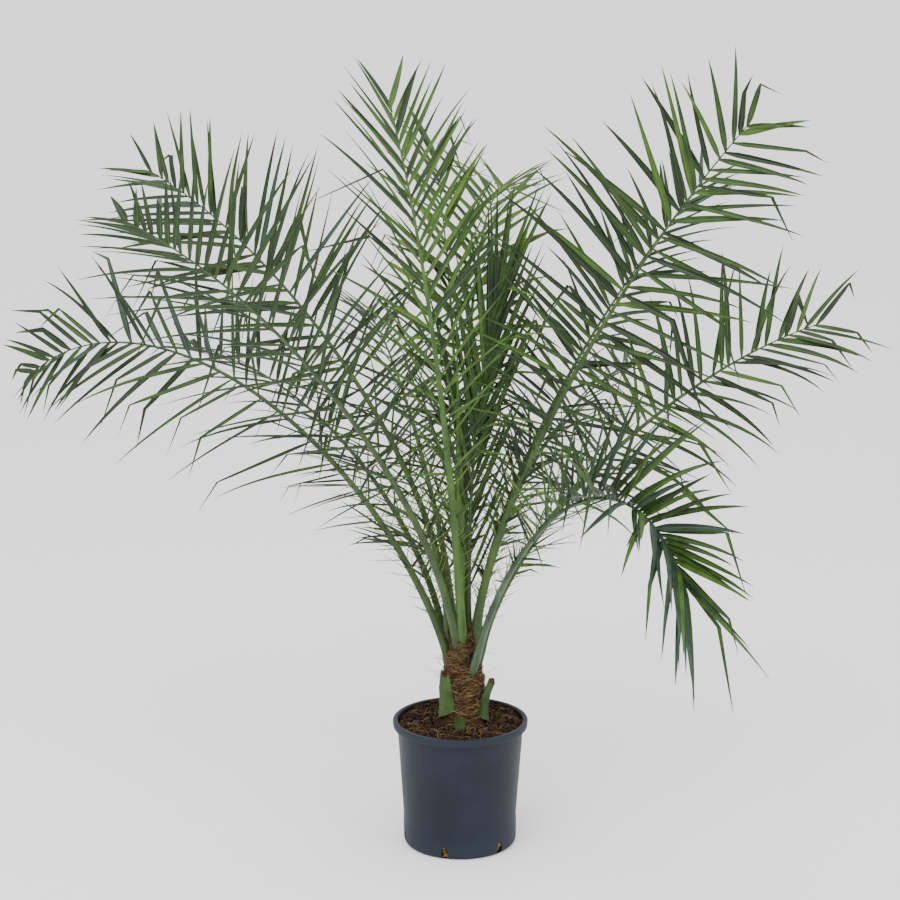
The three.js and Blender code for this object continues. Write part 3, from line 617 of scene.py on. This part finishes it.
# One row for each frond. Angles are in degrees and lengths in metres: turn is the direction at
# the base and sweep its change along the rib. The rib starts at elevation rise, falls by lean
# early on and by droop towards the tip. roll tips the leaf's face sideways and lift folds the
# rows of leaflets upwards. leaflet is the longest leaflet, and foot and tip are the shares of
# that length at the first and last ones. bare is the share of the rib below them, rows their
# number on each side, sag bends them down and spread scales how far they open. tone names their
# green, a gather below 1 crowds them towards the tip, dense multiplies their rows, ease shapes
# how they shorten and kinked is the draw above which one is folded over. cut tells that the
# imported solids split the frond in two.
FRONDS = [
    dict(name="frond_far_left", turn=172, sweep=-20, rise=72, lean=22, droop=90, length=1.075,
         height=0.352, offset=0.031, width=0.015, roll=-70, leaflet=0.225, foot=1.15, tip=0.28,
         lift=16, rows=26, sag=0.2, bare=0.32, spread=0.85, seed=31, tone="deep",
         cut=True, gather=0.68, dense=1, ease=1.6, kinked=0.72),
    dict(name="frond_upper_left", turn=158, sweep=-8, rise=92, lean=37, droop=32, length=1.054,
         height=0.368, offset=0.030, width=0.015, roll=-55, leaflet=0.245, foot=0.75, tip=0.35,
         lift=26, rows=26, sag=0.1, bare=0.31, spread=1, seed=12, tone="deep",
         gather=0.8, dense=1.3, ease=1.7),
    dict(name="frond_mid_left", turn=230, sweep=1, rise=73, lean=24, droop=24, length=1.1,
         height=0.392, offset=0.024, width=0.016, roll=40, leaflet=0.27, foot=0.65, tip=0.2,
         lift=24, rows=26, sag=0.15, bare=0.28, spread=1, seed=13, tone="deep",
         gather=0.7, dense=1.3, ease=1.3),
    dict(name="frond_tall_front", turn=256, sweep=3, rise=80, lean=14, droop=24, length=1.074,
         height=0.398, offset=0.020, width=0.017, roll=8, leaflet=0.205, foot=0.7, tip=0.5,
         lift=34, rows=28, sag=0.08, bare=0.28, spread=0.75, seed=14, tone="fresh", dense=1.1),
    dict(name="frond_tall_back", turn=102, sweep=0, rise=91, lean=9, droop=32, length=0.88,
         height=0.382, offset=0.024, width=0.013, roll=-8, leaflet=0.195, foot=0.7, tip=0.55,
         lift=32, rows=24, sag=0.12, bare=0.31, spread=0.8, seed=15, tone="fresh", dense=1.1),
    dict(name="frond_bowed_back", turn=84, sweep=-8, rise=92, lean=0, droop=114, length=1,
         height=0.384, offset=0.024, width=0.013, roll=6, leaflet=0.18, foot=0.75, tip=0.45,
         lift=30, rows=24, sag=0.25, bare=0.31, spread=1, seed=16, tone="fresh"),
    dict(name="frond_upper_right", turn=344, sweep=2, rise=82, lean=19, droop=13, length=1.01,
         height=0.392, offset=0.021, width=0.017, roll=94, leaflet=0.262, foot=0.65, tip=0.44,
         lift=16, rows=28, sag=0.14, bare=0.29, spread=1.12, seed=17, tone="mid", dense=1.35),
    dict(name="frond_right_back", turn=36, sweep=-4, rise=87, lean=31, droop=16, length=0.945,
         height=0.370, offset=0.030, width=0.014, roll=35, leaflet=0.18, foot=0.7, tip=0.5,
         lift=30, rows=22, sag=0.2, bare=0.31, spread=1, seed=18, tone="deep"),
    dict(name="frond_mid_right", turn=14, sweep=4, rise=77, lean=34, droop=29, length=0.875,
         height=0.352, offset=0.031, width=0.017, roll=54, leaflet=0.2, foot=0.8, tip=0.65,
         lift=22, rows=22, sag=0.35, bare=0.34, spread=1, seed=19, tone="mid", kinked=0.8),
    dict(name="frond_low_right", turn=305, sweep=-14, rise=70, lean=23, droop=95, length=0.84,
         height=0.350, offset=0.037, width=0.020, roll=30, leaflet=0.225, foot=0.7, tip=1,
         lift=46, rows=24, sag=0.15, bare=0.37, spread=0.58, seed=20, tone="grey",
         cut=True, gather=0.75, dense=1.7),
    dict(name="frond_short_back", turn=62, sweep=0, rise=83, lean=54, droop=36, length=0.9,
         height=0.342, offset=0.036, width=0.015, roll=0, leaflet=0.165, foot=0.8, tip=0.5,
         lift=30, rows=14, sag=0.3, bare=0.31, spread=1, seed=21, tone="deep"),
    dict(name="frond_back_left", turn=138, sweep=4, rise=84, lean=42, droop=46, length=0.88,
         height=0.330, offset=0.039, width=0.015, roll=-20, leaflet=0.18, foot=0.8, tip=0.5,
         lift=30, rows=18, sag=0.2, bare=0.31, spread=1, seed=22, tone="deep"),
    dict(name="frond_back", turn=112, sweep=-10, rise=84, lean=40, droop=44, length=0.88,
         height=0.342, offset=0.037, width=0.015, roll=0, leaflet=0.18, foot=0.8, tip=0.5,
         lift=30, rows=18, sag=0.2, bare=0.31, spread=1, seed=23, tone="mid"),
    dict(name="frond_opening", turn=20, sweep=0, rise=91, lean=3, droop=14, length=0.6,
         height=0.402, offset=0.009, width=0.010, roll=80, leaflet=0.29, foot=1, tip=0.6,
         lift=8, rows=9, sag=0.02, bare=0.08, spread=0.26, seed=24, tone="shut", dense=2.8),
]


def draws(seed):
    """Seeded numbers between 0 and 1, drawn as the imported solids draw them."""
    state = (seed * 7919) % 2 ** 32
    while True:
        state = (state * 1664525 + 1013904223) % 2 ** 32
        yield state / 2 ** 32


def follow_rib(frond):
    """Places along a rib, each with its direction, the leaf's side and the leaf's upper face."""
    place = stem_centre(frond.height)
    start = math.radians(frond.turn)
    place += Vector((math.cos(start), math.sin(start), 0)) * frond.offset
    steps = []
    for i in range(RIB_STEPS + 1):
        along = max(0, i - 0.5) / RIB_STEPS
        fall = frond.lean * (1 - (1 - along) ** 4) + frond.droop * along ** 2.4
        elevation = math.radians(frond.rise - fall)
        heading = math.radians(frond.turn + frond.sweep * along)
        level_part = math.cos(elevation)
        ahead = Vector((level_part * math.cos(heading), level_part * math.sin(heading), math.sin(elevation)))
        level = Vector((-math.sin(heading), math.cos(heading), 0))
        upper = ahead.cross(level)
        roll = math.radians(frond.roll)
        side = level * math.cos(roll) + upper * math.sin(roll)
        face = upper * math.cos(roll) - level * math.sin(roll)
        if i:
            place = place + ahead * frond.length / RIB_STEPS
        steps.append(SimpleNamespace(along=i / RIB_STEPS, place=place, ahead=ahead, side=side, face=face))
    return steps


def at_step(steps, along):
    """The place and directions on a rib at a share of its length."""
    exact = min(along, 1) * RIB_STEPS
    index = min(int(exact), RIB_STEPS - 1)
    low, high = steps[index], steps[index + 1]
    place = low.place.lerp(high.place, exact - index)
    return SimpleNamespace(place=place, ahead=low.ahead, side=low.side, face=low.face)


def rib_half_width(frond, along):
    """Half the width of a stalk, which flares at its foot and tapers to the tip."""
    taper = RIB_TIP + (1 - RIB_TIP) * (1 - along) ** RIB_TAPER
    return frond.width / 2 * (taper + RIB_FLARE * math.exp(-along / 0.03))


def add_bent(whole, unit, bend, shade=0):
    """Adds a copy of a straight unit shape to a mesh, with each of its points put where bend says."""
    known_points, known_faces = len(whole.verts), len(whole.faces)
    whole.from_mesh(unit)
    whole.verts.ensure_lookup_table()
    whole.faces.ensure_lookup_table()
    for point in whole.verts[known_points:]:
        point.co = bend(point.co.copy())
    for face in whole.faces[known_faces:]:
        face.material_index += shade


def unit_mesh(shape):
    """Keeps a straight unit shape as a mesh, to be added bent many times."""
    mesh = bpy.data.meshes.new("unit")
    shape.to_mesh(mesh)
    shape.free()
    return mesh


unit_rib_shape = bmesh.new()
bmesh.ops.create_cone(unit_rib_shape, cap_ends=True, segments=RIB_SIDES, radius1=1, radius2=1, depth=1,
                      matrix=Matrix.Translation((0, 0, 0.5)))
uprights = [edge for edge in unit_rib_shape.edges if abs(edge.verts[0].co.z - edge.verts[1].co.z) > 0.5]
bmesh.ops.subdivide_edges(unit_rib_shape, edges=uprights, cuts=RIB_STEPS, use_grid_fill=True)
unit_rib = unit_mesh(unit_rib_shape)


def rib_bend(frond, steps):
    """Wraps the straight unit rod round a rib: keeled below, flat to hollow above."""
    heading = math.radians(frond.turn)
    foot_height = frond.height - RIB_FOOT_DROP
    outward = Vector((math.cos(heading), math.sin(heading), 0))
    foot = stem_centre(foot_height) + outward * max(0.001, stem_radius(foot_height) - RIB_FOOT_DEPTH)

    def bend(point):
        ring = round(point.z * (RIB_STEPS + 1))
        step = steps[max(0, ring - 1)]
        half = rib_half_width(frond, step.along)
        place = foot if ring == 0 else step.place
        depth = half * (0.5 - 0.3 * abs(point.x) if point.y > 0 else 0.85)
        return place + step.side * point.x * half + step.face * point.y * depth

    return bend


def stalk_finish(name, dark, light, edge):
    """A waxy stalk, streaked along its length, with a paler bloom on it."""
    finish = Finish(name, Specular_IOR_Level=0.4)
    streaks = finish.grain(60, 4, (1, 1, 0.12))
    bloom = finish.grain(14, 3)
    base = finish.blend(finish.between(streaks, 0.3, 0.7), tint(dark), tint(light))
    finish.show(finish.blend(finish.between(bloom, 0.5, 0.75) * 0.6, base, tint(edge)), 0.48)
    finish.relief(streaks, 0.0004, 0.4)
    return finish


STALKS = {
    "deep": stalk_finish("stalk_deep", "#1c3010", "#334819", "#4b5e2e"),
    "mid": stalk_finish("stalk_mid", "#223a12", "#3c521c", "#566633"),
    "fresh": stalk_finish("stalk_fresh", "#26450f", "#3f5f1a", "#5b762f"),
    "grey": stalk_finish("stalk_grey", "#1e321d", "#334a2e", "#556e55"),
    "shut": stalk_finish("stalk_shut", "#1f3312", "#33491d", "#4b5f31"),
}
stalk_names = list(STALKS)

# What a frond has where its own row says nothing else.
USUAL = dict(cut=False, gather=0.93, dense=1.25, ease=2.2, kinked=0.86)
fronds = [SimpleNamespace(**{**USUAL, **row}) for row in FRONDS]
ribs = bmesh.new()
for frond in fronds:
    frond.steps = follow_rib(frond)
    add_bent(ribs, unit_rib, rib_bend(frond, frond.steps), stalk_names.index(frond.tone))
make_piece("frond_ribs", ribs, list(STALKS.values()), "frond_leaf", crease=60)


# A leaflet is a narrow blade folded up along its midrib, widest near its foot and drawn
# out to a sharp tip. It leaves the rib stiffly and bends under its own weight, and some
# are creased and hang.
def blade_width(along):
    """Share of the full width at a place along a leaflet, with a hair left at its point."""
    opening = min(1, 0.35 + 0.65 * (along / 0.16) ** 0.7)
    return max(0.03, opening * (1 - (max(0, along - 0.16) / 0.84) ** 1.5) ** 0.8)


unit_blade_shape = bmesh.new()
unit_blade_shape.loops.layers.uv.new("blade")
bmesh.ops.create_grid(unit_blade_shape, x_segments=BLADE_STEPS, y_segments=2, size=1, calc_uvs=True)
bmesh.ops.translate(unit_blade_shape, verts=unit_blade_shape.verts, vec=(1, 0, 0))
bmesh.ops.scale(unit_blade_shape, verts=unit_blade_shape.verts, vec=(0.5, 1, 1))
bmesh.ops.solidify(unit_blade_shape, geom=unit_blade_shape.faces[:], thickness=1)
lowest_face = min(point.co.z for point in unit_blade_shape.verts)
bmesh.ops.translate(unit_blade_shape, verts=unit_blade_shape.verts, vec=(0, 0, -lowest_face - 0.5))
unit_blade_shape.normal_update()
# Places in LEAF_SHADES, where the shades of the upper face come first.
UNDER_DEEP = 5
UNDER_FRESH = 6
DRY = 7
for face in unit_blade_shape.faces:
    if face.normal.z < -0.5:
        face.material_index = UNDER_DEEP
unit_blade = unit_mesh(unit_blade_shape)


def leaflet_length(frond, up):
    """Leaflets lengthen to the peak and shorten from there to the tip."""
    if up < LEAFLET_PEAK:
        rise = math.sin(math.pi / 2 * up / LEAFLET_PEAK)
        return frond.leaflet * (frond.foot + (1 - frond.foot) * rise)
    fall = ((up - LEAFLET_PEAK) / (1 - LEAFLET_PEAK)) ** frond.ease
    return frond.leaflet * (1 + (frond.tip - 1) * fall)


def leaflet_plan(frond):
    """Where each leaflet of a frond stands, how long it is and how it bends."""
    draw = draws(frond.seed)
    rows = round(frond.rows * frond.dense)
    for row in range(rows):
        for hand in (1, -1):
            up = (row + 0.5 + (next(draw) - 0.5) * 0.6) / rows
            plane = LEAFLET_PLANES[(row + (hand < 0)) % 3]
            length = leaflet_length(frond, up) * (0.84 + 0.28 * next(draw))
            opening = frond.spread * (80 - 30 * up - 18 * up ** 6 + (next(draw) - 0.5) * 26)
            lift = frond.lift + plane * (1 - up) + (next(draw) - 0.5) * 18
            sag = frond.sag * (0.6 + 0.8 * next(draw)) * (1.5 - 0.7 * up)
            yield SimpleNamespace(
                hand=hand, up=up, along=frond.bare + (1 - frond.bare) * up ** frond.gather, length=length,
                open=math.radians(opening), lift=math.radians(lift), sag=sag, kink=next(draw))


def low_leaflets(frond, chance):
    """Thin leaflets, part way to spines, that cross each other low on the leaf."""
    if frond.bare < 0.2:
        return
    for i in range(LOW_LEAFLETS):
        share = chance.random()
        yield SimpleNamespace(
            hand=chance.choice((1, -1)), up=0, sag=0.15, kink=chance.random() * 0.9,
            along=frond.bare * (0.45 + share),
            length=frond.leaflet * (0.3 + 0.45 * share) * chance.uniform(0.8, 1.25),
            open=math.radians(chance.uniform(25, 70)), lift=math.radians(chance.uniform(-45, 60)))


def blade_bend(frond, leaf):
    """Puts the straight unit blade along a leaflet's own curve, folded and a little twisted."""
    step = at_step(frond.steps, leaf.along)
    outward = step.side * leaf.hand * math.cos(leaf.lift) + step.face * math.sin(leaf.lift)
    ahead = step.ahead * math.cos(leaf.open) + outward * math.sin(leaf.open)
    wide = (step.ahead - ahead * step.ahead.dot(ahead)).normalized()
    twist = leaf.twist
    stations = []
    place = step.place.copy()
    for i in range(BLADE_STEPS + 1):
        along = i / BLADE_STEPS
        if leaf.kink > frond.kinked:
            weight = (leaf.sag + leaf.drop) * (1 if along > leaf.fold_at else 0.05)
        else:
            weight = leaf.sag * 1.3 * along ** 2
        onward = (ahead + Vector((0, 0, -weight)) + leaf.sway * along ** 2).normalized()
        across = (wide - onward * wide.dot(onward)).normalized()
        across = Matrix.Rotation(twist * along, 3, onward) @ across
        face = across.cross(onward) * leaf.hand
        stations.append((place.copy(), across, face))
        place += onward * leaf.length / BLADE_STEPS
    half_width = BLADE_HALF_WIDTH * leaf.broad

    def bend(point):
        centre, across, face = stations[round(point.x * BLADE_STEPS)]
        half = half_width * blade_width(point.x)
        height = half * BLADE_FOLD * abs(point.y) + point.z * BLADE_THICKNESS * (1 - 0.8 * point.x)
        return centre + across * point.y * half * 0.94 + face * height

    return bend


def leaf_finish(name, dark, light, vein, roughness=0.46):
    """A leathery blade: fine veins run along it, and its green drifts from place to place."""
    finish = Finish(name, Specular_IOR_Level=0.3)
    drift = finish.grain(24, 3)
    base = finish.blend(finish.between(drift, 0.3, 0.7), tint(dark), tint(light))
    spot = finish.node("ShaderNodeUVMap", {"uv_map": "blade"}, {})
    across = finish.node("ShaderNodeSeparateXYZ", {}, {0: spot}, output=1)
    middle = finish.node("ShaderNodeMath", {"operation": "ABSOLUTE"}, {0: across - 0.5})
    rib = finish.between(middle, 0.09, 0.02)
    fine = finish.node("ShaderNodeMath", {"operation": "SINE"}, {0: across * 90})
    finish.show(finish.blend(rib * 0.55, base, tint(vein)), roughness)
    finish.relief(fine * 0.4 + rib, 0.0002, 0.5)
    return finish


LEAF_SHADES = [
    leaf_finish("leaf_deep", "#13200c", "#203415", "#3b5327"),
    leaf_finish("leaf_mid", "#1d2f0f", "#2f4918", "#4e692e"),
    leaf_finish("leaf_fresh", "#2b4512", "#3f5f1c", "#647e35"),
    leaf_finish("leaf_pale", "#3f5a1c", "#59752b", "#7c9348"),
    leaf_finish("leaf_grey", "#1f2f22", "#304636", "#556d5a"),
    leaf_finish("under_deep", "#1d2e14", "#2d421f", "#4b643b", 0.6),
    leaf_finish("under_fresh", "#2f4a1a", "#466426", "#698342", 0.6),
    leaf_finish("leaf_dry", "#3d361b", "#655a33", "#6d623c", 0.75),
]
FRESH_SHADES = (2, 3)
DRY_SHARE = 0.07
TONES = {
    "deep": (0, 0, 0, 0, 0, 1, 1, 1, 1, 4),
    "mid": (0, 0, 1, 1, 1, 2),
    "fresh": (1, 1, 2, 2, 2, 3),
    "grey": (1, 1, 2, 2, 4, 4),
    "shut": (0, 1, 1, 2),
}

for frond in fronds:
    blades = bmesh.new()
    spot = blades.loops.layers.uv.new("blade")
    chance = random.Random(frond.seed)
    for leaf in [*leaflet_plan(frond), *low_leaflets(frond, chance)]:
        leaf.twist = leaf.hand * chance.uniform(-0.35, 0.5)
        leaf.sway = Vector((chance.gauss(0, 0.06), chance.gauss(0, 0.06), 0))
        leaf.fold_at = chance.uniform(0.3, 0.75)
        leaf.drop = chance.uniform(0.3, 2.4)
        leaf.broad = chance.uniform(0.7, 1.1) * (0.45 + 0.6 * min(1, leaf.up / 0.4))
        shade = chance.choice(TONES[frond.tone])
        withered = chance.uniform(0.7, 0.95) if chance.random() < DRY_SHARE else 1
        known = len(blades.faces)
        add_bent(blades, unit_blade, blade_bend(frond, leaf))
        # Bending mirrors the blades of this row, so their faces are turned round.
        if leaf.hand > 0:
            bmesh.ops.reverse_faces(blades, faces=blades.faces[known:])
            blades.faces.ensure_lookup_table()
        for face in blades.faces[known:]:
            if sum(loop[spot].uv.x for loop in face.loops) / len(face.loops) > withered:
                face.material_index = DRY
            elif face.material_index < UNDER_DEEP:
                face.material_index = shade
            elif shade in FRESH_SHADES:
                face.material_index = UNDER_FRESH
    nodes = [frond.name] + ([frond.name + "_tip"] if frond.cut else [])
    make_piece(frond.name + "_leaflets", blades, LEAF_SHADES, "frond_leaf", *nodes, crease=40)

# ---- spines ----------------------------------------------------------------
# On the lower stalk the leaflets are reduced to stiff yellow-green spines, which stand
# out on both sides at different angles and cross those of the next stalk.
SPINES = 16
SPINE_RADIUS = 0.0011


def spine_place(frond, index, hand, chance):
    """Where a spine stands, as the matrix that puts a unit cone there, and its length."""
    share = (index + chance.random()) / SPINES
    along = 0.05 + (frond.bare - 0.05) * share
    step = at_step(frond.steps, along)
    opening = math.radians(chance.uniform(28, 62))
    lift = math.radians(chance.uniform(-12, 30))
    outward = step.side * hand * math.cos(lift) + step.face * math.sin(lift)
    ahead = step.ahead * math.cos(opening) + outward * math.sin(opening)
    length = (0.03 + 0.075 * share) * chance.uniform(0.7, 1.25)
    place = Matrix.Translation(step.place + ahead * length / 2)
    return place @ ahead.to_track_quat("Z", "Y").to_matrix().to_4x4(), length


spines = bmesh.new()
chance = random.Random(77)
for frond in fronds:
    if frond.name == "frond_opening":
        continue
    for index in range(SPINES):
        for hand in (1, -1):
            place, length = spine_place(frond, index, hand, chance)
            bmesh.ops.create_cone(spines, cap_ends=True, segments=5, radius1=SPINE_RADIUS,
                                  radius2=0.0001, depth=length, matrix=place)
spine_yellow = plain_finish("spine_yellow", "#2f4a18", "#67782f", 40, 0.5)
make_piece("stalk_spines", spines, [spine_yellow], "frond_leaf", crease=60)

# ---- spear -----------------------------------------------------------------
# The next leaf, still shut: a slim pointed rod of green leaflets pressed together. It
# stands almost upright in the heart of the crown and grows out of the top of the stem.
SPEAR = SimpleNamespace(turn=200, rise=89, length=0.52, height=0.403, offset=0.005, sweep=0, lean=0,
                        droop=0, roll=0, radius=0.0041, belly=0.0033, belly_end=0.8, point=0.0006)
spear_steps = follow_rib(SPEAR)


def spear_bend(point):
    along = point.z
    step = at_step(spear_steps, along)
    belly = SPEAR.belly * math.sin(math.pi * min(1, along / SPEAR.belly_end))
    pleat = 1 + 0.12 * math.cos(5 * math.atan2(point.y, point.x) + along * 5)
    radius = ((SPEAR.radius + belly) * (1 - along ** 3) + SPEAR.point) * pleat
    return step.place + (step.side * point.x + step.face * point.y) * radius


spear = bmesh.new()
add_bent(spear, unit_rib, spear_bend)
make_piece("spear_leaf", spear, [STALKS["fresh"]], "spear_leaf", "spear", crease=60)

# ---- floor, light and camera -------------------------------------------------
# A pale floor without an edge in view, an even bright sky, one broad lamp over the
# plant and a weaker one beside it.
floor_shape = bmesh.new()
bmesh.ops.create_circle(floor_shape, cap_ends=True, segments=96, radius=260)
floor_mesh = bpy.data.meshes.new("floor")
floor_shape.to_mesh(floor_mesh)
floor_shape.free()
floor = bpy.data.objects.new("floor", floor_mesh)
bpy.context.collection.objects.link(floor)
floor_paint = Finish("floor_paint", Specular_IOR_Level=0.1)
floor_paint.show(tint("#f7f7f7"), 0.9)
floor_mesh.materials.append(floor_paint.material)

sky = bpy.data.worlds.new("sky")
sky.use_nodes = True
sky.node_tree.nodes["Background"].inputs["Color"].default_value = (1, 1, 1, 1)
sky.node_tree.nodes["Background"].inputs["Strength"].default_value = 1.7
bpy.context.scene.world = sky


def lamp(name, place, target, size, power):
    data = bpy.data.lights.new(name, "AREA")
    data.shape = "DISK"
    data.size = size
    data.energy = power
    holder = bpy.data.objects.new(name, data)
    holder.location = place
    holder.rotation_euler = (Vector(target) - Vector(place)).to_track_quat("-Z", "Y").to_euler()
    bpy.context.collection.objects.link(holder)


lamp("over_lamp", (-0.8, -1.6, 3.6), (0, 0, 0.8), 2.2, 90)
lamp("side_lamp", (2.6, -2.2, 2.0), (0, 0, 0.7), 1.6, 30)

camera_data = bpy.data.cameras.new("camera")
camera_data.lens = 85.32
camera_data.sensor_width = 36
camera = bpy.data.objects.new("camera", camera_data)
camera.location = (-0.0178, -3.6, 1.5)
camera.rotation_euler = (math.radians(90 - 12.3), 0, 0)
bpy.context.collection.objects.link(camera)
bpy.context.scene.camera = camera
